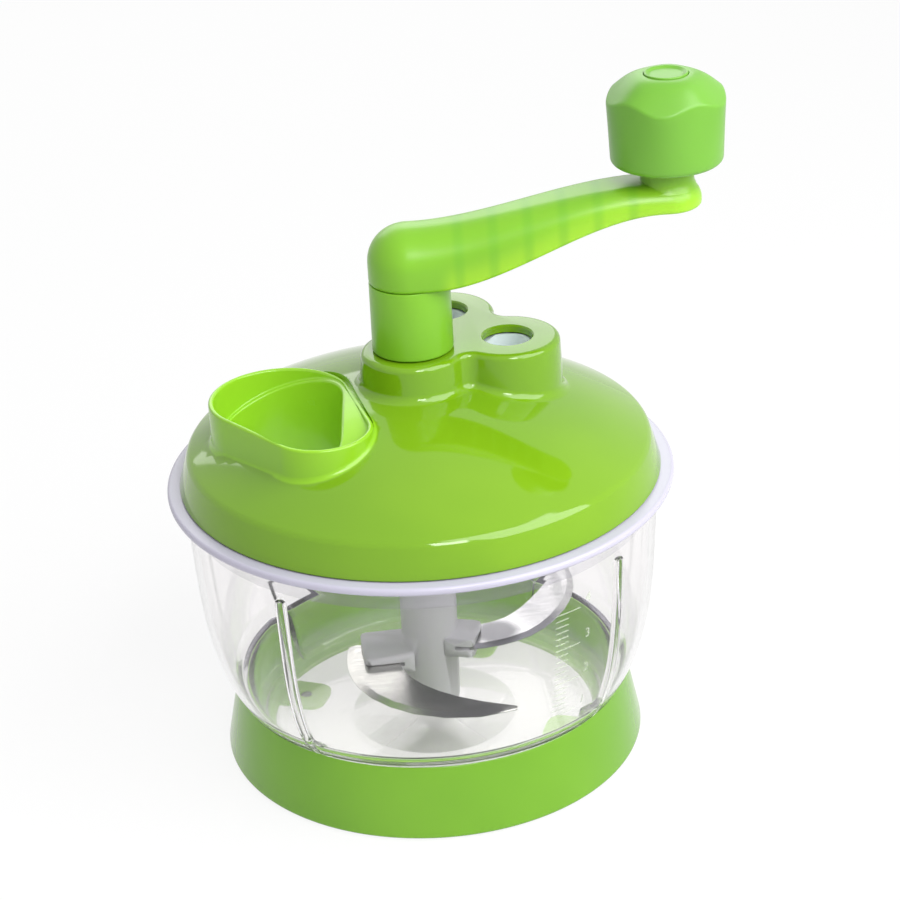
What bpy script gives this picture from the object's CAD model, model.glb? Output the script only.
import bpy
import bmesh
from math import pi, sin, cos, tan, acos, atan2, sqrt, radians
from mathutils import Matrix, Vector


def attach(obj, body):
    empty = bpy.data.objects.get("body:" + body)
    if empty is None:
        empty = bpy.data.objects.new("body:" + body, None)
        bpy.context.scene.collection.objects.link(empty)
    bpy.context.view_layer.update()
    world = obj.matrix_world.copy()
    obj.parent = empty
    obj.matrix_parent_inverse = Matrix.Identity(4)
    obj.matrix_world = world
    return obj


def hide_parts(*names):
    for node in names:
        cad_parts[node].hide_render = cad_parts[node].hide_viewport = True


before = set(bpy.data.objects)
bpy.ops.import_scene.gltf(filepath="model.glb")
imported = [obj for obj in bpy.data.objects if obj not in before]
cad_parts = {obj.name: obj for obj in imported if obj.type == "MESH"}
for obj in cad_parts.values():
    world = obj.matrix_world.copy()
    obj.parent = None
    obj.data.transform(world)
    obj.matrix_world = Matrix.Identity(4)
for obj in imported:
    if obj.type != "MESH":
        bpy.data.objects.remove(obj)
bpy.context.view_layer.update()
tableDrop = 0.004    # heights are written above the table, this far below the frame's origin
past = 0.002         # how far a cutting tool runs past the faces it cuts
print("frame loaded,", len(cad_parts), "nodes")

# small modelling helpers


def filletLine(corners, segments):
    # a closed line through (across, up, fillet radius); a vertex bevel rounds each corner with a radius
    bm = bmesh.new()
    verts = [bm.verts.new((x, 0, z)) for x, z, _ in corners]
    count = len(verts)
    for i in range(count):
        bm.edges.new((verts[i], verts[(i + 1) % count]))
    for i, (x, z, radius) in enumerate(corners):
        if radius <= 0:
            continue
        back = Vector(corners[i - 1][:2]) - Vector((x, z))
        ahead = Vector(corners[(i + 1) % count][:2]) - Vector((x, z))
        room = min(back.length, ahead.length) * 0.49      # fillets at both ends of a side never meet
        setback = min(radius / tan(back.angle(ahead) / 2), room)
        bmesh.ops.bevel(bm, geom=[verts[i]], offset=setback, offset_type="OFFSET",
                        segments=segments, profile=0.5, affect="VERTICES", material=-1)
    return bm


def turned(corners, turns=128, segments=5, centre=(0, 0)):
    bm = filletLine(corners, segments)
    # the side that lies on the axis isn't spun
    onAxis = [e for e in bm.edges if all(abs(v.co.x) < 1e-9 for v in e.verts)]
    bmesh.ops.delete(bm, geom=onAxis, context="EDGES")
    bmesh.ops.spin(bm, geom=bm.verts[:] + bm.edges[:], cent=(0, 0, 0), axis=(0, 0, 1),
                   angle=2 * pi, steps=turns, use_merge=True)
    bmesh.ops.remove_doubles(bm, verts=bm.verts, dist=1e-6)
    bmesh.ops.translate(bm, verts=bm.verts, vec=(centre[0], centre[1], 0))
    bmesh.ops.recalc_face_normals(bm, faces=bm.faces)
    return bm


def stacked(loops, capped=True, ring=False):
    # the first loop is drawn, every further one is extruded from the one before
    bm = bmesh.new()
    row = [bm.verts.new(p) for p in loops[0]]
    edges = [bm.edges.new((row[i], row[(i + 1) % len(row)])) for i in range(len(row))]
    firstEdges = edges
    for loop in loops[1:]:
        grown = bmesh.ops.extrude_edge_only(bm, edges=edges)["geom"]
        fresh = {g for g in grown if isinstance(g, bmesh.types.BMVert)}
        nextRow = []
        for old, place in zip(row, loop):
            new = next(e.other_vert(old) for e in old.link_edges if e.other_vert(old) in fresh)
            new.co = place
            nextRow.append(new)
        row = nextRow
        edges = [bm.edges.get((row[i], row[(i + 1) % len(row)])) for i in range(len(row))]
    if ring:
        bmesh.ops.bridge_loops(bm, edges=firstEdges + edges)
    elif capped:
        bmesh.ops.contextual_create(bm, geom=firstEdges)
        bmesh.ops.contextual_create(bm, geom=edges)
    bmesh.ops.remove_doubles(bm, verts=bm.verts, dist=1e-7)
    bmesh.ops.recalc_face_normals(bm, faces=bm.faces)
    return bm


def rod(radius, low, high, turns, centre=(0, 0)):
    return turned([(0, low, 0), (radius, low, 0), (radius, high, 0), (0, high, 0)], turns, 1, centre)


def prism(outline, low, high):
    return stacked([[(x, y, z) for x, y in outline] for z in (low, high)])


def loose(bm, name="tool"):
    mesh = bpy.data.meshes.new(name)
    bm.to_mesh(mesh)
    bm.free()
    thing = bpy.data.objects.new(name, mesh)
    bpy.context.scene.collection.objects.link(thing)
    return thing


def boolean(thing, tool, how):
    step = thing.modifiers.new("boolean", "BOOLEAN")
    step.solver, step.operation, step.object = "EXACT", how, tool
    bpy.context.view_layer.update()
    result = thing.evaluated_get(bpy.context.evaluated_depsgraph_get())
    mesh = bpy.data.meshes.new_from_object(result)
    thing.modifiers.clear()
    thing.data = mesh
    bpy.data.objects.remove(tool)


def join(thing, bm):
    boolean(thing, loose(bm), "UNION")


def cut(thing, bm):
    boolean(thing, loose(bm), "DIFFERENCE")


def settle(thing, name, material, body, nodes=(), sharp=32):
    thing.name = name
    thing.data.name = name
    thing.data.transform(Matrix.Translation((0, 0, -tableDrop)))
    thing.data.materials.clear()
    thing.data.materials.append(material)
    thing.data.shade_smooth()
    thing.data.set_sharp_from_angle(angle=radians(sharp))
    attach(thing, body)
    if nodes:
        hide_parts(*nodes)
    print("made", name, len(thing.data.polygons), "faces")


def smoothCopy(nodeName, material, body):
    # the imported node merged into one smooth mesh; it keeps the node's place exactly
    bm = bmesh.new()
    bm.from_mesh(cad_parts[nodeName].data)
    bmesh.ops.remove_doubles(bm, verts=bm.verts, dist=1e-6)
    bmesh.ops.translate(bm, verts=bm.verts, vec=(0, 0, tableDrop))
    settle(loose(bm), nodeName + "_smooth", material, body, [nodeName])


def arcPoints(centre, radius, start, end, steps):
    return [(centre[0] + radius * cos(start + (end - start) * i / steps),
             centre[1] + radius * sin(start + (end - start) * i / steps)) for i in range(steps + 1)]


def onCircle(radius, angle):
    return radius * cos(angle), radius * sin(angle)


def easeBetween(value, low, high):
    share = min(max((value - low) / (high - low), 0), 1)
    return share * share * (3 - 2 * share)

# materials


class Wire:
    # a shader socket that takes part in sums
    def __init__(self, finish, socket):
        self.finish, self.socket = finish, socket

    def sum(self, operation, first, second=None, clamp=False):
        sockets = {0: first} if second is None else {0: first, 1: second}
        settings = {"operation": operation, "use_clamp": clamp}
        return self.finish.add("ShaderNodeMath", settings, sockets)

    def __add__(self, other):
        return self.sum("ADD", self, other)

    def __radd__(self, other):
        return self.sum("ADD", other, self)

    def __sub__(self, other):
        return self.sum("SUBTRACT", self, other)

    def __rsub__(self, other):
        return self.sum("SUBTRACT", other, self)

    def __mul__(self, other):
        return self.sum("MULTIPLY", self, other)

    def __rmul__(self, other):
        return self.sum("MULTIPLY", other, self)

    def clamped(self):
        return self.sum("ADD", self, 0.0, clamp=True)

    def absolute(self):
        return self.sum("ABSOLUTE", self)

    def rise(self, low, high):
        return self.finish.add("ShaderNodeMapRange", {"interpolation_type": "SMOOTHSTEP"},
                               {"Value": self, "From Min": low, "From Max": high}, "Result")


class Finish:
    # the nodes of a material, or of the world
    def __init__(self, owner, shader="Principled BSDF"):
        owner.use_nodes = True
        self.owner, self.tree = owner, owner.node_tree
        self.shader = self.tree.nodes[shader]

    def add(self, kind, settings=None, sockets=None, output=0):
        node = self.tree.nodes.new(kind)
        for key, value in (settings or {}).items():
            setattr(node, key, value)
        self.feed(node, sockets or {})
        return Wire(self, node.outputs[output])

    def feed(self, node, sockets):
        for key, value in sockets.items():
            if isinstance(value, Wire):
                self.tree.links.new(value.socket, node.inputs[key])
            else:
                node.inputs[key].default_value = value

    def fed(self, name):
        return Wire(self, self.shader.inputs[name].links[0].from_socket)

    def place(self):
        return self.add("ShaderNodeTexCoord", output="Object")

    def axes(self):
        split = self.add("ShaderNodeSeparateXYZ", None, {0: self.place()})
        outs = split.socket.node.outputs
        return [Wire(self, outs[i]) for i in range(3)]

    def noise(self, scale, detail=3.0, rough=0.5, stretch=None):
        where = self.place()
        if stretch:
            where = self.add("ShaderNodeMapping", None, {"Vector": where, "Scale": stretch})
        return self.add("ShaderNodeTexNoise", None,
                        {"Vector": where, "Scale": scale, "Detail": detail, "Roughness": rough}, "Fac")

    def blend(self, share, first, second):
        first, second = (c if isinstance(c, Wire) else (*c, 1) for c in (first, second))
        return self.add("ShaderNodeMix", {"data_type": "RGBA"}, {0: share, 6: first, 7: second}, 2)

    def rays(self, *kinds):
        # 1 for a ray of any of these kinds
        outputs = self.add("ShaderNodeLightPath").socket.node.outputs
        found = Wire(self, outputs[kinds[0]])
        for kind in kinds[1:]:
            found = found + Wire(self, outputs[kind])
        return found.clamped()

    def both(self, share, first, second):
        return self.add("ShaderNodeMixShader", None, {0: share, 1: first, 2: second})

    def surface(self, closure):
        self.feed(self.tree.nodes["Material Output"], {"Surface": closure})

    def set(self, **values):
        self.feed(self.shader, {key.replace("_", " "): value for key, value in values.items()})

    def bump(self, height, strength, distance):
        self.set(Normal=self.add("ShaderNodeBump", None,
                                 {"Height": height, "Strength": strength, "Distance": distance}))


plastics = {
    "lidGreen": {"colour": (0.165, 0.330, 0.008), "shade": (0.140, 0.295, 0.006), "rough": 0.07,
                 "coat": 0.15, "grain": 0.010, "soft": 0.0},
    "gripGreen": {"colour": (0.148, 0.350, 0.012), "shade": (0.125, 0.310, 0.009), "rough": 0.20,
                  "coat": 0.2, "grain": 0.020, "soft": 0.0},
    "crankGreen": {"colour": (0.185, 0.430, 0.022), "shade": (0.158, 0.380, 0.016), "rough": 0.30,
                   "coat": 0.0, "grain": 0.020, "soft": 0.12},
    "knobGreen": {"colour": (0.142, 0.355, 0.034), "shade": (0.120, 0.315, 0.026), "rough": 0.34,
                  "coat": 0.0, "grain": 0.025, "soft": 0.10},
    "flangeWhite": {"colour": (0.455, 0.440, 0.530), "shade": (0.425, 0.410, 0.500), "rough": 0.25,
                    "coat": 0.0, "grain": 0.010, "soft": 0.0},
    "spindleWhite": {"colour": (0.560, 0.565, 0.580), "shade": (0.510, 0.515, 0.530), "rough": 0.35,
                     "coat": 0.0, "grain": 0.020, "soft": 0.0},
    "gearWhite": {"colour": (0.620, 0.700, 0.720), "shade": (0.560, 0.640, 0.665), "rough": 0.42,
                  "coat": 0.0, "grain": 0.030, "soft": 0.0},
    "footRubber": {"colour": (0.045, 0.050, 0.045), "shade": (0.030, 0.033, 0.030), "rough": 0.75,
                   "coat": 0.0, "grain": 0.080, "soft": 0.0},
}
melt = {"mottle": 14, "gloss": 60, "glossRange": 0.06, "grain": 900, "grainDeep": 0.0002,
        "coatRough": 0.03, "ior": 1.5, "specular": 0.4, "depth": (0.4, 1.0, 0.12), "depthScale": 0.004}


def mouldedPlastic(name):
    # slow mottling from the flow of the melt, a fine texture in gloss and height
    look, m = plastics[name], melt
    f = Finish(bpy.data.materials.new(name))
    mottle = f.noise(m["mottle"], 2.0).rise(0.3, 0.7)
    f.set(Base_Color=f.blend(mottle, look["colour"], look["shade"]),
          Roughness=(f.noise(m["gloss"], 4.0) - 0.5) * m["glossRange"] + look["rough"],
          Coat_Weight=look["coat"], Coat_Roughness=m["coatRough"],
          IOR=m["ior"], Specular_IOR_Level=m["specular"])
    if look["soft"]:
        f.set(Subsurface_Weight=look["soft"], Subsurface_Radius=m["depth"],
              Subsurface_Scale=m["depthScale"])
    f.bump(f.noise(m["grain"], 2.0), look["grain"], m["grainDeep"])
    return f


steelLook = {"rough": 0.24, "roughRange": 0.16, "streaks": 160, "deep": 0.0001}
# hollow is where the polish dips and the metal looks darker, out to near and fading to far
steels = {
    "lowerSteel": {"colour": (0.50, 0.50, 0.47), "streak": (0.40, 0.40, 0.38), "dark": (0.06, 0.06, 0.06),
                   "along": (1, 14, 1), "hollow": (0.016, -0.033), "near": 0.005, "far": 0.036},
    "upperSteel": {"colour": (0.66, 0.66, 0.66), "streak": (0.56, 0.56, 0.57), "dark": (0.16, 0.16, 0.17),
                   "along": (1, 14, 1), "hollow": (0.027, -0.001), "near": 0.005, "far": 0.012},
    "screwSteel": {"colour": (0.60, 0.60, 0.59), "streak": (0.47, 0.47, 0.46), "dark": (0.47, 0.47, 0.46),
                   "along": (6, 6, 1), "hollow": (0.0, 0.0), "near": 0.001, "far": 0.002},
}


def groundSteel(name):
    look, s = steelLook, steels[name]
    f = Finish(bpy.data.materials.new(name))
    streaks = f.noise(look["streaks"], 4.0, 0.6, s["along"])
    x, y, z = f.axes()
    dx, dy = x - s["hollow"][0], y - s["hollow"][1]
    dip = 1 - (dx * dx + dy * dy).rise(s["near"] ** 2, s["far"] ** 2)
    tone = f.blend(streaks.rise(0.35, 0.65), s["colour"], s["streak"])
    f.set(Base_Color=f.blend(dip, tone, s["dark"]), Metallic=1.0,
          Roughness=(streaks - 0.5) * look["roughRange"] + look["rough"])
    f.bump(streaks, 0.05, look["deep"])
    return f.owner


bushLook = {"metal": (0.56, 0.36, 0.16), "pore": (0.42, 0.26, 0.11), "pores": 1500,
            "rough": 0.3, "roughRange": 0.2, "deep": 0.0001}


def bearingMetal():
    b = bushLook
    f = Finish(bpy.data.materials.new("bushBronze"))
    pores = f.noise(b["pores"], 2.0)
    f.set(Base_Color=f.blend(pores.rise(0.4, 0.6), b["metal"], b["pore"]), Metallic=1.0,
          Roughness=pores * b["roughRange"] + b["rough"])
    f.bump(pores, 0.1, b["deep"])
    return f.owner


knobGreen = mouldedPlastic("knobGreen").owner
spindleWhite = mouldedPlastic("spindleWhite").owner
gearWhite = mouldedPlastic("gearWhite").owner
footRubber = mouldedPlastic("footRubber").owner
lowerSteel = groundSteel("lowerSteel")
upperSteel = groundSteel("upperSteel")
screwSteel = groundSteel("screwSteel")
bushBronze = bearingMetal()
print("shared materials ready")

# grip ring

gripRing = {"foot": 0.0856, "top": 0.0795, "height": 0.0298, "lift": 0.0005, "wall": 0.0024,
            "rim": 0.0045, "ledgeTop": 0.0037, "ledge": 0.0017, "ledgeInner": 0.0690,
            "locator": 0.0730, "locatorWall": 0.0014, "locatorHeight": 0.0043, "edge": 0.0014,
            "lugs": 4, "lugFirst": radians(70), "lugCircle": 0.0575, "lugHalf": 0.0095,
            "lugCorner": 0.0060, "footHole": 0.0025}
innerGlow = {"colour": (0.420, 0.820, 0.060), "fade": 0.00004}


def gripPlastic():
    # the thin band lets light through, so its inner side is brighter than its outer side
    g = gripRing
    f = mouldedPlastic("gripGreen")
    x, y, z = f.axes()
    middle = (z + tableDrop) * ((g["top"] - g["foot"]) / g["height"]) + (g["foot"] - g["wall"] / 2)
    inside = (middle * middle - x * x - y * y).rise(0.0, innerGlow["fade"])
    f.set(Base_Color=f.blend(inside, f.fed("Base Color"), innerGlow["colour"]))
    return f.owner


def makeGripRing(material):
    g = gripRing
    low, high = g["ledgeTop"] - g["ledge"], g["ledgeTop"]
    locatorOut, locatorTop = g["locator"] + g["locatorWall"], high + g["locatorHeight"]
    ring = loose(turned([
        (g["foot"], g["lift"], g["edge"]), (g["top"], g["height"], 0.0009),
        (g["top"] - g["wall"], g["height"], 0.0007), (g["foot"] - g["wall"], high, 0.0008),
        (locatorOut, high, 0), (locatorOut, locatorTop, 0.0004),
        (g["locator"], locatorTop, 0.0004), (g["locator"], high, 0),
        (g["ledgeInner"], high, 0.0004), (g["ledgeInner"], low, 0.0004),
        (g["foot"] - g["rim"], low, 0), (g["foot"] - g["rim"], g["lift"], 0.0008),
    ], 160))
    for i in range(g["lugs"]):
        angle = g["lugFirst"] + 2 * pi * i / g["lugs"]
        join(ring, lugPlate(Matrix.Rotation(angle, 4, "Z"), low, high))
        cut(ring, rod(g["footHole"], low - past, high + past, 24, onCircle(g["lugCircle"], angle)))
    settle(ring, "grip_ring", material, "stand_and_bowl", ["base_ring"])


def lugPlate(turn, low, high):
    # a tongue with two round corners that reaches inwards and carries the bowl and a foot
    g = gripRing
    outer, inner = g["locator"] + g["locatorWall"] / 2, g["lugCircle"] - g["lugHalf"]
    half, r = g["lugHalf"], g["lugCorner"]
    outline = [(outer, -half), (outer, half)]
    outline += arcPoints((inner + r, half - r), r, pi / 2, pi, 8)
    outline += arcPoints((inner + r, r - half), r, pi, pi * 3 / 2, 8)
    return stacked([[turn @ Vector((x, y, z)) for x, y in outline] for z in (low, high)])


makeGripRing(gripPlastic())

# bowl

bowlShape = {"rim": 0.1156, "rimRadius": 0.0936, "taper": 0.0036, "power": 4.6, "seat": 0.0302,
             "seatRadius": 0.0803, "neck": 0.0767, "foot": 0.0720, "footFillet": 0.0060,
             "wall": 0.0026, "bottom": 0.0040, "floor": 0.0030, "floorFillet": 0.0090,
             "bendRise": 0.0060, "bend": 0.0090, "coneFoot": 0.0340, "coneRadius": 0.0130,
             "cone": 0.0060, "bossRadius": 0.0060, "boss": 0.0050, "pinHole": 0.0033, "pinSeat": 0.0110,
             "rows": 26, "crowd": 1.4}
bowlRib = {"first": radians(53), "count": 4, "half": 0.0025, "depth": 0.0024, "top": 0.1035,
           "foot": ((0.30, 0.30), (0.55, 0.75))}
bowlLook = {"tint": (0.975, 0.965, 0.965), "haze": (0.955, 0.945, 0.950), "rough": 0.015,
            "roughRange": 0.02, "ior": 1.45, "shadow": (0.96, 0.955, 0.955), "milk": 0.20,
            "milkColour": (0.88, 0.92, 0.84), "milkTop": 0.0200, "milkFade": 0.0060}


def clearPlastic():
    # shadow and bounce rays pass the wall, so the light reaches what stands in the bowl;
    # the thick lower part in the ring is a little milky
    b = bowlLook
    f = Finish(bpy.data.materials.new("clearBowl"))
    haze = f.noise(25, 3.0).rise(0.35, 0.75)
    f.set(Base_Color=f.blend(haze, b["tint"], b["haze"]), Roughness=haze * b["roughRange"] + b["rough"],
          IOR=b["ior"], Transmission_Weight=1.0)
    x, y, z = f.axes()
    milk = (1 - (z + tableDrop).rise(b["milkTop"] - b["milkFade"], b["milkTop"])) * b["milk"]
    pale = f.add("ShaderNodeBsdfDiffuse", None, {"Color": (*b["milkColour"], 1)})
    clear = f.add("ShaderNodeBsdfTransparent", None, {"Color": (*b["shadow"], 1)})
    wall = f.both(milk, Wire(f, f.shader.outputs[0]), pale)
    f.surface(f.both(f.rays("Is Shadow Ray", "Is Diffuse Ray"), wall, clear))
    return f.owner


def bowlOuter(height):
    b = bowlShape
    down = max((b["rim"] - height) / (b["rim"] - b["seat"]), 0)
    return b["rimRadius"] - b["taper"] * down - (
        b["rimRadius"] - b["seatRadius"] - b["taper"]) * down ** b["power"]


def bowlInner(height):
    # inner radius at a height: the body, the slope over the seat, the neck and the floor's fillet
    b = bowlShape
    floor = b["bottom"] + b["floor"]
    bendTop = b["seat"] + b["bendRise"]
    if height > bendTop:
        return bowlOuter(height) - b["wall"]
    neck, low = b["neck"] - b["wall"], b["foot"] - b["wall"]
    if height > b["seat"]:
        return neck + (bowlOuter(bendTop) - b["wall"] - neck) * (height - b["seat"]) / b["bendRise"]
    radius = low + (neck - low) * (max(height, floor + b["floorFillet"]) - floor) / (b["seat"] - floor)
    under = max(floor + b["floorFillet"] - height, 0)
    return radius - b["floorFillet"] + sqrt(b["floorFillet"] ** 2 - under ** 2)


def makeBowl(material):
    b = bowlShape
    floor = b["bottom"] + b["floor"]
    pinTop = floor + b["cone"] + b["boss"]
    bend = b["seat"] + b["bendRise"]
    shares = [i / b["rows"] for i in range(b["rows"] + 1)]          # crowded where the wall bends
    outerZ = [b["seat"] + (b["rim"] - b["seat"]) * s ** b["crowd"] for s in shares]
    innerZ = [b["rim"] - (b["rim"] - bend) * (1 - (1 - s) ** b["crowd"]) for s in shares]
    corners = [(0, b["bottom"], 0), (b["foot"], b["bottom"], b["footFillet"]),
               (b["neck"], b["seat"], 0.0004)]
    corners += [(bowlOuter(z), z, 0.0005 if z in (outerZ[0], outerZ[-1]) else 0) for z in outerZ]
    corners += [(bowlOuter(z) - b["wall"], z, 0.0005 if z == innerZ[0] else 0) for z in innerZ]
    corners += [(b["neck"] - b["wall"], b["seat"], b["bend"]),
                (b["foot"] - b["wall"], floor, b["floorFillet"]), (b["coneFoot"], floor, 0.004),
                (b["coneRadius"], floor + b["cone"], 0.0006), (b["bossRadius"], floor + b["cone"], 0.0006),
                (b["bossRadius"], pinTop, 0.0006), (b["pinHole"], pinTop, 0),
                (b["pinHole"], pinTop - b["pinSeat"], 0), (0, pinTop - b["pinSeat"], 0)]
    bowl = loose(turned(corners, 160))
    for i in range(bowlRib["count"]):
        join(bowl, ribLoft(bowlRib["first"] + 2 * pi * i / bowlRib["count"]))
    settle(bowl, "clear_bowl", material, "stand_and_bowl", ["bowl"])


def ribLoft(angle):
    r, b = bowlRib, bowlShape
    floor, high = b["bottom"] + b["floor"], r["top"] - r["half"]
    bottom = floor + b["floorFillet"]
    rows = [(floor + b["floorFillet"] * rise, size) for rise, size in r["foot"]]
    rows += [(bottom + (high - bottom) * i / 36, 1.0) for i in range(37)]
    for i in range(1, 7):                                  # the rounded top of the rib
        turn = pi / 2 * i / 6
        rows.append((high + r["half"] * sin(turn), max(cos(turn), 0.05)))
    out, side = Vector((cos(angle), sin(angle), 0)), Vector((-sin(angle), cos(angle), 0))
    loops = []
    for height, size in rows:
        middle = out * bowlInner(height) + Vector((0, 0, height))
        loops.append([middle + out * ((b["wall"] / 2 if x > 0 else r["depth"]) * size * x)
                      + side * (r["half"] * size * y)
                      for x, y in arcPoints((0, 0), 1, 0, 2 * pi, 16)[:-1]])
    return stacked(loops)


# measuring marks: short and long lines with plain numbers, standing proud of the outer wall
scaleShape = {"angle": radians(-59.5), "low": 0.0460, "pitch": 0.0026, "lines": 19, "every": 6,
              "short": 0.0060, "long": 0.0118, "thick": 0.0004, "proud": 0.00015,
              "digit": 0.0056, "digitTurn": 0.155, "digitRise": 0.0010}
markLook = {"ink": (0.66, 0.74, 0.58), "shade": (0.58, 0.66, 0.50), "rough": 0.3, "alpha": 0.32}


def printedMark():
    m = markLook
    f = Finish(bpy.data.materials.new("scaleMark"))
    f.set(Base_Color=f.blend(f.noise(300).rise(0.3, 0.7), m["ink"], m["shade"]),
          Roughness=f.noise(200) * 0.1 + m["rough"], Alpha=m["alpha"])
    return f.owner


def onWall(bm, angle, height):
    # wraps flat work, x along the wall and y up, round the bowl; z stands out from the wall
    for v in bm.verts:
        z = height + v.co.y
        radius = bowlOuter(z) + v.co.z
        turn = angle + v.co.x / bowlOuter(z)
        v.co = (radius * cos(turn), radius * sin(turn), z)
    return bm


def makeScale(material):
    s = scaleShape
    marks = bmesh.new()
    for i in range(s["lines"]):
        height = s["low"] + s["pitch"] * i
        isLong = i % s["every"] == 0
        length = s["long"] if isLong else s["short"]
        line = bmesh.new()
        bmesh.ops.create_cube(line, size=1)
        bmesh.ops.scale(line, verts=line.verts, vec=(length, s["thick"], s["proud"] * 2))
        bmesh.ops.translate(line, verts=line.verts, vec=(length / 2, 0, 0))
        across = [e for e in line.edges if abs(e.verts[0].co.x - e.verts[1].co.x) > s["thick"]]
        bmesh.ops.subdivide_edges(line, edges=across, cuts=6, use_grid_fill=True)
        gather(marks, onWall(line, s["angle"], height))
        if isLong:
            number = numberWork(str(i // s["every"] + 1))
            gather(marks, onWall(number, s["angle"] + s["digitTurn"], height + s["digitRise"]))
    settle(loose(marks), "bowl_scale", material, "stand_and_bowl")


def gather(bm, more):
    mesh = bpy.data.meshes.new("part")
    more.to_mesh(mesh)
    more.free()
    bm.from_mesh(mesh)
    bpy.data.meshes.remove(mesh)


def numberWork(text):
    s = scaleShape
    curve = bpy.data.curves.new("number", "FONT")
    curve.body, curve.size, curve.extrude, curve.resolution_u = text, s["digit"], s["proud"], 3
    thing = bpy.data.objects.new("number", curve)
    bpy.context.scene.collection.objects.link(thing)
    bpy.context.view_layer.update()
    bm = bmesh.new()
    bm.from_mesh(thing.evaluated_get(bpy.context.evaluated_depsgraph_get()).to_mesh())
    bmesh.ops.remove_doubles(bm, verts=bm.verts, dist=1e-6)
    bpy.data.objects.remove(thing)
    return bm


makeBowl(clearPlastic())
makeScale(printedMark())

# lid: dome, boss, hopper collar and chute

domeShape = {"bottom": 0.1196, "radius": 0.0951, "top": 0.1579, "crown": 0.1773, "shoulder": 0.0910,
             "fillet": 0.0080, "wall": 0.0024, "plug": 0.1163, "plugPlay": 0.0003, "roomLow": 0.1400,
             "over": 0.1700}
gearCentres = [(0.0, 0.0), (0.036872, 0.006834), (0.012518, 0.035349)]
bossShape = {"radius": 0.0206, "lean": 0.0006, "top": 0.1705, "edge": 0.0026, "foot": 0.0034,
             "wall": 0.0026, "roof": 0.0030, "crotch": 0.0060, "hole": 0.0097, "chamfer": 0.0006}
hopperShape = {"top": 0.1560, "wall": 0.0020, "back": (-0.0526, -0.0067), "backRadius": 0.0278,
               "front": (-0.0368, -0.0370), "frontRadius": 0.0201, "foot": 0.0022,
               "chuteBackRadius": 0.0240, "chuteFront": (-0.0430, -0.0370), "chuteFrontRadius": 0.0136,
               "chuteWall": 0.0018, "chuteBottom": 0.1120, "innerFoot": 0.0010, "lip": 0.0012,
               "lipRise": 0.00004}
lidPosts = {"angles": (radians(15), radians(100), radians(150), radians(290)), "circle": 0.0800,
            "radius": 0.0036, "bore": 0.0019, "seat": 0.1160, "depth": 0.0140}
hopperLook = {"rough": 0.26, "wall": (0.215, 0.455, 0.010), "inside": (0.270, 0.560, 0.020),
              "soft": 0.0006, "margin": 0.0008, "thick": 0.0010}


def eggMask(f, inset):
    # 1 within the hopper's outline, which runs from a wide circle to a narrow one
    h = hopperShape
    x, y, z = f.axes()
    run = Vector(h["front"]) - Vector(h["back"])
    dx, dy = x - h["back"][0], y - h["back"][1]
    share = ((dx * run.x + dy * run.y) * (1 / run.length_squared)).clamped()
    ex, ey = dx - share * run.x, dy - share * run.y
    radius = share * (h["frontRadius"] - h["backRadius"]) + (h["backRadius"] - inset)
    outside = ex * ex + ey * ey - radius * radius
    return 1 - outside.rise(0.0, hopperLook["soft"] * 2 * h["backRadius"])


def lidPlastic():
    # the filling hopper's thin wall is lit through and less polished than the dome
    h = hopperLook
    f = mouldedPlastic("lidGreen")
    hopper = eggMask(f, -h["margin"])
    tone = f.blend(hopper, f.fed("Base Color"), h["wall"])
    f.set(Base_Color=f.blend(eggMask(f, h["thick"]), tone, h["inside"]),
          Roughness=f.fed("Roughness") + hopper * (h["rough"] - plastics["lidGreen"]["rough"]))
    return f.owner


def crownHeight(radius):
    d = domeShape
    return d["top"] - d["crown"] + sqrt(d["crown"] ** 2 - radius ** 2)


def eggOutline(back, backRadius, front, frontRadius, steps=40):
    along = Vector(front) - Vector(back)
    heading = atan2(along.y, along.x)
    lean = acos((backRadius - frontRadius) / along.length)
    return (arcPoints(back, backRadius, heading + lean, heading + 2 * pi - lean, steps)
            + arcPoints(front, frontRadius, heading - lean, heading + lean, steps))


def hopperEgg(inset):
    h = hopperShape
    return eggOutline(h["back"], h["backRadius"] - inset, h["front"], h["frontRadius"] - inset)


def chuteEgg(grow):
    h = hopperShape
    return eggOutline(h["back"], h["chuteBackRadius"] + grow, h["chuteFront"], h["chuteFrontRadius"] + grow)


def trefoilOutline(radius, fillet, lobeSteps=30, crotchSteps=12):
    points = []
    reach = radius + fillet
    for i, centre in enumerate(gearCentres):
        ahead = Vector(gearCentres[(i + 1) % 3]) - Vector(centre)
        behind = Vector(gearCentres[i - 1]) - Vector(centre)
        lean = acos(ahead.length / 2 / reach)
        start = atan2(behind.y, behind.x) + lean
        end = atan2(ahead.y, ahead.x) - lean
        end += 2 * pi if end < start else 0
        points += arcPoints(centre, radius, start, end, lobeSteps)[:-1]
        hollow = (centre[0] + reach * cos(end), centre[1] + reach * sin(end))
        points += arcPoints(hollow, fillet, end + pi, end + 2 * lean, crotchSteps)[:-1]
    return points


def overCrown(outline, rise):
    return [(x, y, crownHeight(sqrt(x * x + y * y)) + rise) for x, y in outline]


def footLevels(fillet, steps=8, sink=0.00006, root=0.0012):
    # (outward offset, height over the crown) of a fillet that dies out in the dome
    rows = [(fillet, -root), (fillet, -sink)]
    for i in range(1, steps + 1):
        turn = pi / 2 * i / steps
        rows.append((fillet * (1 - sin(turn)), fillet * (1 - cos(turn)) - sink))
    return rows


def domeCorners(inset, bottom, steps):
    d = domeShape
    shoulder = d["shoulder"] - inset
    corners = [(d["radius"] - inset, bottom, 0.0006 if inset == 0 else 0),
               (shoulder, crownHeight(shoulder) - inset, d["fillet"] - inset)]
    for i in range(1, steps + 1):
        r = shoulder * (1 - i / steps)
        corners.append((r, crownHeight(r) - inset, 0))
    return corners


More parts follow.
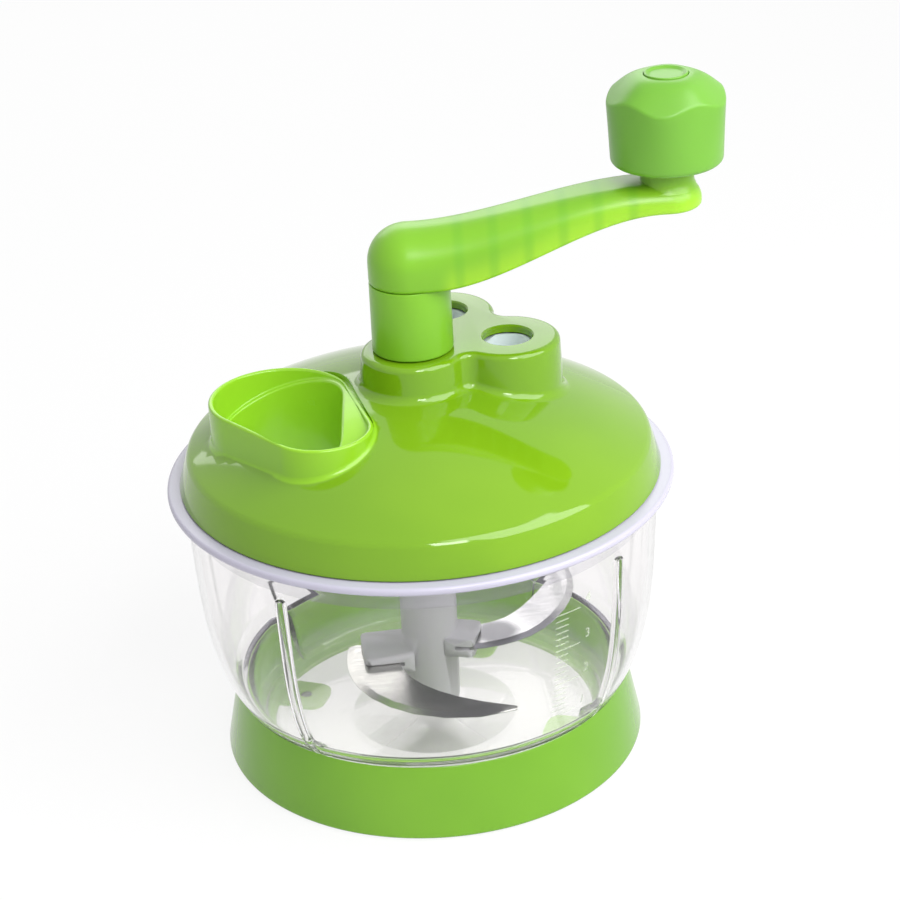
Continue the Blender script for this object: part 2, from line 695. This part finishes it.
def bossLoft():
    b = bossShape
    rows = [overCrown(trefoilOutline(b["radius"] + b["lean"] + offset, b["crotch"] - offset * 0.8), rise)
            for offset, rise in footLevels(b["foot"])]
    for i in range(9):
        turn = pi / 2 * i / 8
        inset = b["edge"] * (1 - cos(turn))
        outline = trefoilOutline(b["radius"] - inset, b["crotch"] + inset)
        rows.append([(x, y, b["top"] - b["edge"] * (1 - sin(turn))) for x, y in outline])
    return stacked(rows)


def collarLoft():
    h = hopperShape
    half = h["wall"] / 2
    rows = [overCrown(hopperEgg(-offset), rise) for offset, rise in footLevels(h["foot"])]
    for i in range(13):
        turn = pi * i / 12
        outline = hopperEgg(half * (1 - cos(turn)))
        rows.append([(x, y, h["top"] - half + half * sin(turn)) for x, y in outline])
    rows += [overCrown(hopperEgg(h["wall"] + offset), rise)
             for offset, rise in reversed(footLevels(h["innerFoot"], 4))]
    return stacked(rows, ring=True)


def throatLoft():
    # the opening of the chute, with a rounded lip where it meets the dome
    h = hopperShape
    rows = [[(x, y, h["chuteBottom"] - past) for x, y in chuteEgg(0)]]
    for i in range(7):
        turn = pi / 2 * i / 6
        outline = chuteEgg(h["lip"] * (1 - cos(turn)))
        rows.append(overCrown(outline, h["lipRise"] - h["lip"] * (1 - sin(turn))))
    rows.append([(x, y, h["top"] + past) for x, y, _ in rows[-1]])
    return stacked(rows)


def domeCavity():
    # the room under the dome and in the boss, without the screw posts and the chute
    d, b, p = domeShape, bossShape, lidPosts
    low = d["plug"] - past
    cavity = loose(turned([(0, low, 0), (d["radius"] - d["wall"], low, 0)]
                          + domeCorners(d["wall"], d["bottom"], 16), 96))
    rows = []
    for offset, height in ((b["lean"], d["roomLow"]), (0, b["top"] - b["roof"])):
        outline = trefoilOutline(b["radius"] - b["wall"] + offset, b["crotch"] + b["wall"], 16, 6)
        rows.append([(x, y, height) for x, y in outline])
    join(cavity, stacked(rows))
    for angle in p["angles"]:
        cut(cavity, rod(p["radius"], low - past, d["over"], 24, onCircle(p["circle"], angle)))
    cut(cavity, prism(chuteEgg(hopperShape["chuteWall"]), low - past, d["over"]))
    return cavity


def makeDome(material):
    d, b, h, p = domeShape, bossShape, hopperShape, lidPosts
    reach = p["circle"] + p["radius"] + d["plugPlay"]
    dome = loose(turned([(0, d["plug"], 0), (reach, d["plug"], 0), (reach, d["bottom"], 0)]
                        + domeCorners(0, d["bottom"], 30), 192, 8))
    join(dome, bossLoft())
    join(dome, collarLoft())
    boolean(dome, domeCavity(), "DIFFERENCE")
    join(dome, prism(chuteEgg(h["chuteWall"]), h["chuteBottom"], d["bottom"]))
    cut(dome, throatLoft())
    low, wide = b["top"] - b["roof"] - past, b["hole"] + b["chamfer"]
    for centre in gearCentres:
        cut(dome, turned([(0, low, 0), (b["hole"], low, 0), (b["hole"], b["top"] - b["chamfer"], 0),
                          (wide, b["top"], 0), (wide, b["top"] + past, 0), (0, b["top"] + past, 0)],
                         64, 1, centre))
    for angle in p["angles"]:
        place = onCircle(p["circle"], angle)
        cut(dome, rod(p["bore"], d["plug"] - past, p["seat"] + p["depth"], 20, place))
    settle(dome, "dome_cover", material, "lid", ["lid_dome"], 38)


makeDome(lidPlastic())

# lid base

lidPlate = {"flange": 0.1000, "top": 0.1193, "thick": 0.0032, "edge": 0.0014, "plateTop": 0.1160,
            "plate": 0.0024, "skirtBottom": 0.1060, "skirtWall": 0.0022, "skirtPlay": 0.0006,
            "register": 0.0030, "registerWall": 0.0018, "housing": 0.0108, "housingTop": 0.1185,
            "bush": 0.0081, "bossRadius": 0.0055, "bossTop": 0.1190, "bossDrop": 0.0030,
            "axle": 0.0028, "axleSeat": 0.1125, "screw": 0.0019, "chutePlay": 0.0005,
            "registerPlay": 0.0003, "over": 0.1250}
# the skirt starts below the fade, between the two radii
skirtLook = {"clear": 0.88, "fade": (0.1152, 0.1160), "radii": (0.0837, 0.0854)}


def lidBasePlastic():
    # natural plastic: the thin skirt in the bowl lets more light pass than the flange
    s = skirtLook
    f = mouldedPlastic("flangeWhite")
    x, y, z = f.axes()
    outer = (x * x + y * y).rise(s["radii"][0] ** 2, s["radii"][1] ** 2)
    f.set(Alpha=1 - (1 - (z + tableDrop).rise(*s["fade"])) * outer * s["clear"])
    return f.owner


def domeSide(height):
    d = domeShape
    rise = crownHeight(d["shoulder"]) - d["bottom"]
    return d["radius"] - (d["radius"] - d["shoulder"]) * (height - d["bottom"]) / rise


def makeLidPlate(material):
    l, p = lidPlate, lidPosts
    under = l["top"] - l["thick"]
    low = l["plateTop"] - l["plate"]
    high = l["top"] + l["register"]
    play = domeShape["wall"] + l["registerPlay"]
    ring, ringTop = domeSide(l["top"]) - play, domeSide(high) - play
    skirt = bowlOuter(l["skirtBottom"]) - bowlShape["wall"] - l["skirtPlay"]
    plate = loose(turned([
        (l["flange"], under, l["edge"]), (l["flange"], l["top"], l["edge"]), (ring, l["top"], 0),
        (ringTop, high, 0.0006), (ringTop - l["registerWall"], high, 0.0006),
        (ring - l["registerWall"], l["top"], 0), (skirt - l["skirtWall"], l["plateTop"], 0),
        (l["housing"], l["plateTop"], 0), (l["housing"], l["housingTop"], 0.0004),
        (l["bush"], l["housingTop"], 0), (l["bush"], low, 0), (skirt - l["skirtWall"], low, 0.0008),
        (skirt - l["skirtWall"], l["skirtBottom"], 0.0006), (skirt, l["skirtBottom"], 0.0006),
        (skirt, under, 0)], 160))
    for centre in gearCentres[1:]:
        foot = low - l["bossDrop"]
        join(plate, turned([(0, foot, 0), (l["bossRadius"], foot, 0.0006),
                            (l["bossRadius"], l["bossTop"], 0.0004), (0, l["bossTop"], 0)], 32, 3, centre))
        cut(plate, rod(l["axle"], l["axleSeat"], l["over"], 32, centre))
    for angle in p["angles"]:
        cut(plate, rod(l["screw"], low - past, l["plateTop"] + past, 20, onCircle(p["circle"], angle)))
    opening = chuteEgg(hopperShape["chuteWall"] + l["chutePlay"])
    cut(plate, prism(opening, low - past, l["plateTop"] + past))
    settle(plate, "lid_plate", material, "lid", ["lid_base"])


makeLidPlate(lidBasePlastic())

# crank: hub tube, arm

hubShape = {"bottom": 0.1710, "top": 0.1987, "radius": 0.0158, "topRadius": 0.0156, "wall": 0.0033}
armShape = {"reach": 0.0990, "hubBottom": 0.19875, "hubTop": 0.2211, "endBottom": 0.2237,
            "endTop": 0.2337, "hubRadius": 0.0156, "endRadius": 0.0130, "topRise": (0.0000, 0.0920),
            "bottomRise": (0.0080, 0.0960), "hubRound": 0.0142, "endRound": 0.0076, "lowerEdge": 0.0014,
            "wall": 0.0022, "roof": 0.0026, "pocket": (0.0190, 0.0850), "pockets": 5, "rib": 0.0018,
            "slope": 0.0060, "post": 0.0060, "postBottom": 0.1888, "postTop": 0.2016, "bore": 0.0023,
            "boreTop": 0.2033, "bolt": 0.0033, "boltBottom": 0.2253, "boltOver": 0.2450,
            "bossRadius": 0.0098, "bossFoot": 0.0121, "bossLow": 0.2287, "bossWaist": 0.0102,
            "bossTop": 0.2397, "bossEdge": 0.0008, "bossFillet": 0.0040}
ribBands = {"core": 0.0004, "half": 0.0032, "depth": 0.34, "tone": (0.100, 0.330, 0.018)}
edgeGlow = {"colour": (0.340, 0.620, 0.020), "share": 0.65, "deep": 0.0130, "low": 0.1990,
            "high": 0.2237, "run": (0.010, 0.094), "start": (0.010, 0.018), "over": (0.1975, 0.1990)}


def crankPlastic():
    # the cross ribs under the arm show through as darker bands, the thin lower edges glow
    a, r, g = armShape, ribBands, edgeGlow
    f = mouldedPlastic("crankGreen")
    x, y, z = f.axes()
    pitch = (a["pocket"][1] - a["pocket"][0]) / a["pockets"]
    bands = 0.0
    for i in range(a["pockets"] + 1):
        centre = a["pocket"][0] + pitch * i
        bands = bands + (1 - (x - centre).absolute().rise(r["core"], r["half"]))
    overHub = z.rise(g["over"][0] - tableDrop, g["over"][1] - tableDrop)
    under = x.rise(*g["run"]) * (g["high"] - g["low"]) + (g["low"] - tableDrop)
    glow = (1 - (z - under).rise(0.0, g["deep"])) * x.rise(*g["start"]) * overHub * g["share"]
    tinted = f.blend(glow, f.fed("Base Color"), g["colour"])
    f.set(Base_Color=f.blend((bands * overHub * r["depth"]).clamped(), tinted, r["tone"]))
    return f.owner


def makeHub(material):
    h = hubShape
    inner = h["radius"] - h["wall"]
    tube = turned([(h["radius"], h["bottom"], 0.0008), (h["topRadius"], h["top"], 0.0003),
                   (inner, h["top"], 0), (inner, h["bottom"], 0.0004)], 128)
    settle(loose(tube), "hub_tube", material, "crank", ["crank_hub"])


def armTop(x):
    a = armShape
    return a["hubTop"] + (a["endTop"] - a["hubTop"]) * easeBetween(x, *a["topRise"])


def armBottom(x):
    a = armShape
    return a["hubBottom"] + (a["endBottom"] - a["hubBottom"]) * easeBetween(x, *a["bottomRise"])


def armSpokes():
    a = armShape
    lean = acos((a["hubRadius"] - a["endRadius"]) / a["reach"])
    spokes = [(0, p) for p in arcPoints((0, 0), a["hubRadius"], lean, 2 * pi - lean, 48)]
    sides = []
    for i in range(1, 44):
        share = i / 44
        radius = a["hubRadius"] + (a["endRadius"] - a["hubRadius"]) * share
        sides.append((a["reach"] * share, (radius * cos(lean), radius * sin(lean))))
    spokes += [(foot, (x, -y)) for foot, (x, y) in sides]
    spokes += [(a["reach"], p) for p in arcPoints((0, 0), a["endRadius"], -lean, lean, 36)]
    spokes += list(reversed(sides))
    return spokes


def armLoops(spokes):
    # the lower edge's fillet, then the large rounding up to the ridge
    a = armShape
    rows = []
    for i in range(5):
        turn = pi / 2 * i / 4
        rows.append(("low", a["lowerEdge"] * (1 - sin(turn)), a["lowerEdge"] * (1 - cos(turn))))
    rows += [("turn", pi / 2 * i / 14, 0) for i in range(15)]
    loops = []
    for kind, value, lift in rows:
        loop = []
        for foot, (reachX, reachY) in spokes:
            length = sqrt(reachX ** 2 + reachY ** 2)
            rounding = a["hubRound"] + (a["endRound"] - a["hubRound"]) * easeBetween(
                foot + reachX, *a["topRise"])
            inset = value if kind == "low" else rounding * (1 - cos(value))
            x = foot + reachX * (1 - inset / length)
            height = armBottom(x) + lift if kind == "low" else armTop(x) - rounding * (1 - sin(value))
            loop.append((x, reachY * (1 - inset / length), height))
        loops.append(loop)
    return loops


def makeArm(material):
    a = armShape
    spokes = armSpokes()
    ridge = [(foot, 0, armTop(foot)) for foot, _ in spokes]
    under = [(foot, 0, armBottom(foot)) for foot, _ in spokes]
    bm = stacked([under] + armLoops(spokes) + [ridge], capped=False)
    bmesh.ops.remove_doubles(bm, verts=bm.verts, dist=1e-6)
    bmesh.ops.dissolve_degenerate(bm, dist=1e-6, edges=bm.edges)
    bmesh.ops.recalc_face_normals(bm, faces=bm.faces)
    arm = loose(bm)
    end = (a["reach"], 0)
    join(arm, rod(a["post"], a["postBottom"], a["postTop"], 40))
    cut(arm, rod(a["bore"], a["postBottom"] - past, a["boreTop"], 32))
    join(arm, turned([(0, a["bossLow"], 0), (a["bossFoot"], a["bossLow"], 0),
                      (a["bossWaist"], a["endTop"], a["bossFillet"]),
                      (a["bossRadius"], a["bossTop"], a["bossEdge"]), (0, a["bossTop"], 0)], 64, 6, end))
    cut(arm, rod(a["bolt"], a["boltBottom"], a["boltOver"], 40, end))
    pitch = (a["pocket"][1] - a["pocket"][0]) / a["pockets"]
    for i in range(a["pockets"]):
        start = a["pocket"][0] + pitch * i + a["rib"] / 2
        cut(arm, pocketLoft(start, start + pitch - a["rib"]))
    settle(arm, "arm_shell", material, "crank", ["crank_arm"], 40)


def pocketLoft(start, end):
    # a hollow under the arm, as wide as the walls leave it and with a sloped roof
    a = armShape
    loops = []
    for i in range(7):
        x = start + (end - start) * i / 6
        half = a["hubRadius"] + (a["endRadius"] - a["hubRadius"]) * x / a["reach"] - a["wall"]
        low, high = armBottom(x) - past, armTop(x) - a["roof"]
        slope = min(a["slope"], (high - low) / 2)
        loops.append([(x, -half, low), (x, half, low), (x, half, high - slope), (x, half - slope, high),
                      (x, slope - half, high), (x, -half, high - slope)])
    return stacked(loops)


crankGreen = crankPlastic()
makeHub(crankGreen)
makeArm(crankGreen)

# knob

knobShape = {"axis": 0.0990, "bottom": 0.2408, "footRadius": 0.0213, "shoulderRadius": 0.0221,
             "shoulder": 0.2678, "top": 0.2748, "lobes": 5, "firstLobe": radians(7), "rise": 0.0015,
             "bulge": -0.0005, "edge": 0.0022, "wall": 0.0024, "roof": 0.2580, "bore": 0.0033,
             "tube": 0.0067, "collar": 0.0063, "tubeBottom": 0.2400, "wellFloor": 0.2612, "well": 0.0064,
             "capSeat": 0.2699, "cap": 0.0083, "capTop": 0.2754, "capPlay": 0.0003, "rim": 0.0008,
             "dish": 0.0062, "dishDeep": 0.0008, "crownSlope": radians(48)}


def knobLoop(radius, height, rise, bulge, steps=120):
    k = knobShape
    loop = []
    for i in range(steps):
        angle = 2 * pi * i / steps
        lobe = cos(k["lobes"] * (angle - k["firstLobe"]))
        r = radius + bulge * lobe
        loop.append((k["axis"] + r * cos(angle), r * sin(angle), height + rise * lobe))
    return loop


def knobRows():
    k = knobShape
    rows = []
    for i in range(7):                                     # the rounded lower edge
        turn = pi / 2 * i / 6
        rows.append(knobLoop(k["footRadius"] - k["edge"] + k["edge"] * sin(turn),
                             k["bottom"] + k["edge"] * (1 - cos(turn)), 0, 0))
    side = k["shoulder"] - k["bottom"] - 2 * k["edge"]
    for i in range(1, 10):                                 # the side, where the lobes grow
        share = i / 10
        rows.append(knobLoop(k["footRadius"] + (k["shoulderRadius"] - k["footRadius"]) * share,
                             k["bottom"] + k["edge"] + side * share,
                             k["rise"] * share ** 3, k["bulge"] * share))
    # the shoulder turns in until it meets the crown's slope, then the crown levels out to the cap
    for i in range(8):
        turn = (pi / 2 - k["crownSlope"]) * i / 7
        radius = k["shoulderRadius"] - k["edge"] * (1 - cos(turn))
        height = k["shoulder"] - k["edge"] + k["edge"] * sin(turn)
        rows.append(knobLoop(radius, height, k["rise"], k["bulge"]))
    drop = radius - (k["cap"] + k["capPlay"] + k["rim"])
    for i in range(1, 15):
        share = i / 14
        rows.append(knobLoop(radius - drop * share, height + (k["top"] - height) * sin(pi / 2 * share),
                             k["rise"] * (1 - share) ** 1.5, k["bulge"] * (1 - share)))
    return rows


def makeKnob(material):
    k = knobShape
    knob = loose(stacked(knobRows()))
    centre = (k["axis"], 0)
    wide, seat, inside = k["footRadius"] - k["wall"], k["cap"] + k["capPlay"], k["bottom"] + k["wall"]
    low, tubeLow, high = k["bottom"] - past, k["tubeBottom"] - past, k["top"] + past
    cut(knob, turned([(k["tube"], low, 0), (wide, low, 0), (wide, k["roof"], 0.004),
                      (k["tube"], k["roof"], 0)], 64, 4, centre))
    join(knob, turned([(0, k["tubeBottom"], 0), (k["collar"], k["tubeBottom"], 0.0003),
                       (k["collar"], inside, 0), (0, inside, 0)], 48, 2, centre))
    cut(knob, turned([(0, tubeLow, 0), (k["bore"], tubeLow, 0), (k["bore"], k["wellFloor"], 0),
                      (k["well"], k["wellFloor"], 0), (k["well"], k["capSeat"], 0),
                      (seat, k["capSeat"], 0), (seat, high, 0), (0, high, 0)], 64, 1, centre))
    settle(knob, "knob_grip", material, "knob", ["knob"], 40)
    capLow, dishLow = k["capSeat"] + k["capPlay"], k["capTop"] - k["dishDeep"]
    cap = turned([(0, capLow, 0), (k["cap"], capLow, 0), (k["cap"], k["capTop"], 0.0004),
                  (k["cap"] - k["rim"], k["capTop"], 0.0004), (k["dish"], dishLow, 0.001),
                  (0, dishLow, 0)], 64, 4, centre)
    settle(loose(cap), "knob_cover", material, "knob", ["knob_cap"])


makeKnob(knobGreen)

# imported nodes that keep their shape

for nodeName, material, body, slotName in (
        ("blade_spindle", spindleWhite, "blade_unit", "white_plastic"),
        ("lower_blade", lowerSteel, "blade_unit", "steel"),
        ("upper_blade", upperSteel, "blade_unit", "steel"),
        ("bowl_pin", screwSteel, "stand_and_bowl", "steel"),
        ("drive_coupling", spindleWhite, "drive", "white_plastic"),
        ("centre_gear", gearWhite, "drive", "gear_white"),
        ("fast_gear", gearWhite, "fast_gear", "gear_white"),
        ("medium_gear", gearWhite, "medium_gear", "gear_white"),
        ("crank_stem", spindleWhite, "crank", "white_plastic"),
        ("knob_bolt", screwSteel, "crank", "steel"),
        ("drive_bush", bushBronze, "lid", "bush_bronze")):
    smoothCopy(nodeName, material, body)
for nodeName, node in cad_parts.items():
    node.data.materials.clear()
    node.data.materials.append(footRubber if nodeName.startswith("foot") else screwSteel)
print("nodes dressed")

# floor, light, camera

studio = {"floorSize": 4.0, "floorTone": 0.80, "floorRough": 0.8, "floorGlow": 0.86, "world": 0.57}
lamps = {
    "keyLamp": {"place": (0.55, -0.35, 0.75), "aim": (0, 0, 0.12), "size": (0.85, 0.85), "power": 11.0},
    "frontLamp": {"place": (0.2, -0.9, 0.9), "aim": (0, 0, 0.12), "size": (0.30, 0.38), "power": 4.8},
    "backLamp": {"place": (-0.25, 1.30, 0.85), "aim": (0, 0, 0.15), "size": (1.3, 0.7), "power": 5.0},
}
cameraPlace = {"lens": 100, "film": 36, "distance": 0.88573, "height": 0.55954,
               "ahead": (0.01228, 0.89789, -0.44005), "right": (0.99819, -0.03688, -0.0474)}
seenRays = ("Is Camera Ray", "Is Glossy Ray", "Is Transmission Ray")


def makeFloor():
    # seen nearly white, also in mirrors and through the bowl, while it keeps the shadow
    s = studio
    bm = bmesh.new()
    bmesh.ops.create_grid(bm, x_segments=1, y_segments=1, size=s["floorSize"])
    floor = loose(bm, "floor")
    floor.data.transform(Matrix.Translation((0, 0, -tableDrop)))
    f = Finish(bpy.data.materials.new("floor"))
    f.set(Base_Color=(s["floorTone"],) * 3 + (1,), Roughness=s["floorRough"])
    glow = f.add("ShaderNodeEmission", None, {"Strength": 1.0})
    f.surface(f.both(f.rays(*seenRays) * s["floorGlow"], Wire(f, f.shader.outputs[0]), glow))
    floor.data.materials.append(f.owner)


def makeWorld():
    world = bpy.data.worlds.new("studio")
    bpy.context.scene.world = world
    f = Finish(world, "Background")
    f.set(Color=(1, 1, 1, 1),
          Strength=f.rays(*seenRays) * (1 - studio["world"]) + studio["world"])


def makeLamp(name, place, aim, size, power):
    lamp = bpy.data.lights.new(name, "AREA")
    lamp.shape = "RECTANGLE"
    lamp.size, lamp.size_y, lamp.energy = *size, power
    thing = bpy.data.objects.new(name, lamp)
    thing.location = place
    thing.rotation_euler = (Vector(aim) - Vector(place)).to_track_quat("-Z", "Y").to_euler()
    bpy.context.scene.collection.objects.link(thing)


def makeCamera():
    c = cameraPlace
    camera = bpy.data.objects.new("camera", bpy.data.cameras.new("camera"))
    camera.data.lens, camera.data.sensor_width = c["lens"], c["film"]
    ahead = Vector(c["ahead"]).normalized()
    right = Vector(c["right"])
    right = (right - ahead * right.dot(ahead)).normalized()
    turn = Matrix((right, right.cross(ahead), -ahead)).transposed().to_4x4()
    camera.matrix_world = Matrix.Translation((0, -c["distance"], c["height"] - tableDrop)) @ turn
    bpy.context.scene.collection.objects.link(camera)
    bpy.context.scene.camera = camera


makeFloor()
makeWorld()
for name, lamp in lamps.items():
    makeLamp(name, **lamp)
makeCamera()
bpy.context.scene.view_settings.view_transform = "Standard"
print("stage ready")
